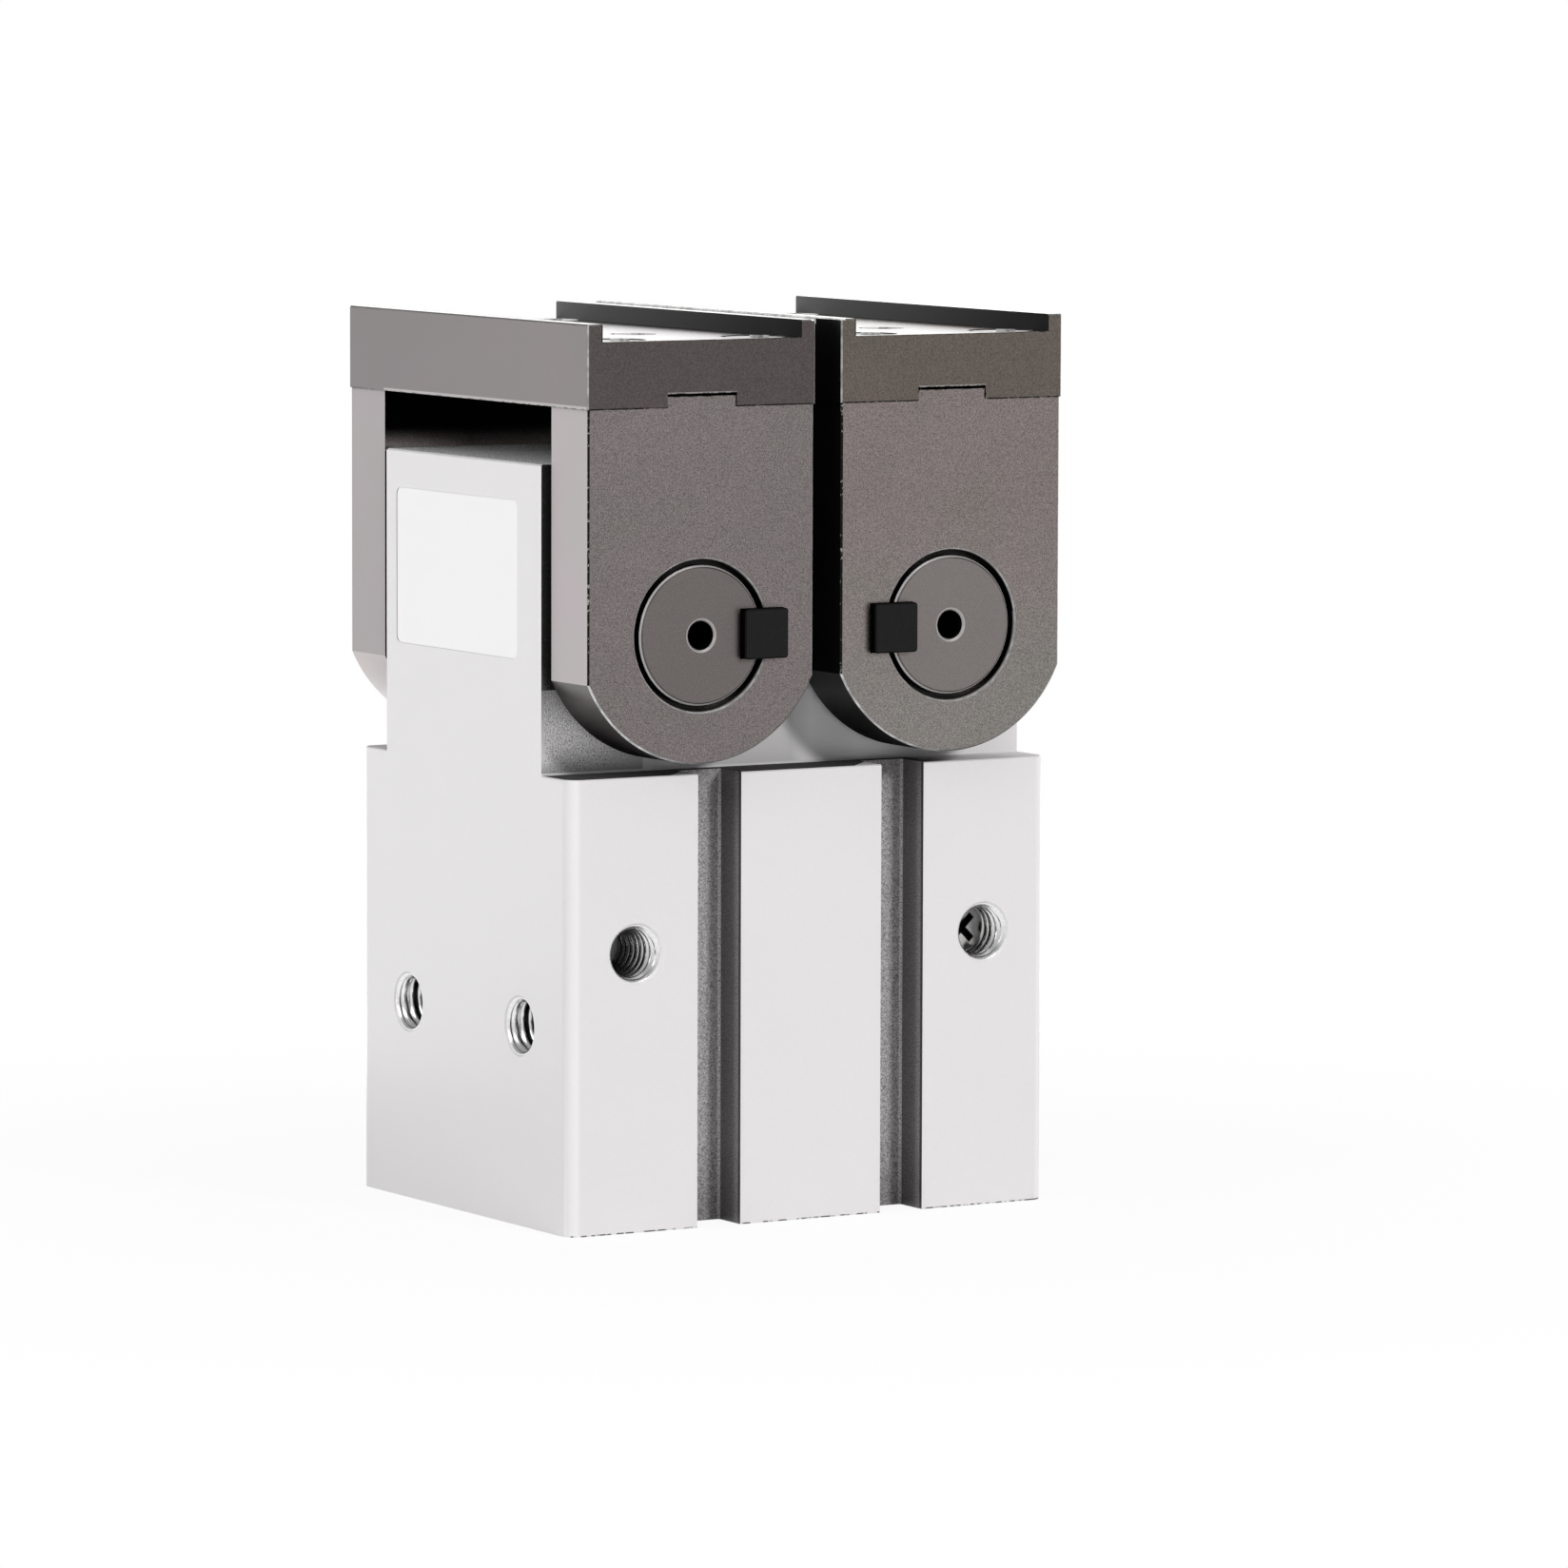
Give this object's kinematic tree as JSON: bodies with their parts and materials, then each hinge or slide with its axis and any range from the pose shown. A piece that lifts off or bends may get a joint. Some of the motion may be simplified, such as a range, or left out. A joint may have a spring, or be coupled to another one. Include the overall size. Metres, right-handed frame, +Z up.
{
  "type": "pneumatic angular gripper",
  "caption": "Air-driven angular gripper: a block housing whose piston rack turns keyed pinion fingers that swing open sideways, with ports, switch grooves and tapped mounts.",
  "frame": {"origin": "centre of the housing's base, on the mounting face", "axes": "+Z up from the base to the fingers; fingers open along X; the front with ports and switch grooves faces -Y"},
  "size_m": [0.048, 0.0442, 0.078],
  "materials": {
    "housing": "near-white satin anodised, fine bead-blasted grain",
    "finger": "brown-grey hard anodised, fine grain",
    "nameplate": "blank white film plate",
    "shaft_steel": "turned, grey-brown surface treatment",
    "plain_steel": "ground steel",
    "dark_steel": "black oxide",
    "bush_bronze": "sintered bronze",
    "bare_aluminium": "turned, bare",
    "seal_rubber": "black nitrile",
    "bumper_rubber": "polyurethane",
    "magnet": "bonded magnet",
    "wear_ring": "filled resin"
  },
  "bodies": {
    "housing": {"housing_block": "housing", "nameplate": "nameplate", "port_restrictor": "plain_steel", "end_cap": "bare_aluminium", "end_cap_o_ring": "seal_rubber", "end_cap_retaining_ring": "dark_steel", "closing_bumper": "bumper_rubber", "rod_gland": "bare_aluminium", "gland_o_ring": "seal_rubber", "rod_seal": "seal_rubber", "gland_retaining_ring": "dark_steel", "opening_bumper": "bumper_rubber", "left_front_bush": "bush_bronze", "left_rear_bush": "bush_bronze", "right_front_bush": "bush_bronze", "right_rear_bush": "bush_bronze"},
    "left_finger": {"left_pinion_shaft": "shaft_steel", "left_front_plate": "finger", "left_rear_plate": "finger", "left_front_key": "dark_steel", "left_rear_key": "dark_steel", "left_crossbar": "finger", "left_crossbar_screws": "dark_steel"},
    "right_finger": {"right_pinion_shaft": "shaft_steel", "right_front_plate": "finger", "right_rear_plate": "finger", "right_front_key": "dark_steel", "right_rear_key": "dark_steel", "right_crossbar": "finger", "right_crossbar_screws": "dark_steel"},
    "rack": {"rack_rod": "plain_steel", "piston": "bare_aluminium", "piston_seal": "seal_rubber", "piston_magnet": "magnet", "piston_wear_ring": "wear_ring", "piston_screw": "dark_steel"}
  },
  "joints": [
    {"name": "left_finger_pivot", "type": "hinge", "parent": "housing", "child": "left_finger", "pos_m": [-0.0125, 0, 0.05129], "axis": [0, -1, 0], "range_deg": [-2.5, 90]},
    {"name": "right_finger_pivot", "type": "hinge", "parent": "housing", "child": "right_finger", "pos_m": [0.0125, 0, 0.05129], "axis": [0, 1, 0], "range_deg": [-2.5, 90]},
    {"name": "rack_slide", "type": "slide", "parent": "housing", "child": "rack", "axis": [0, 0, 1], "range_m": [-0.00027, 0.00943]}
  ],
  "couplings": [
    {"joint": "right_finger_pivot", "follows": "left_finger_pivot", "ratio": 1},
    {"joint": "rack_slide", "follows": "left_finger_pivot", "m_per_rad": 0.006}
  ]
}
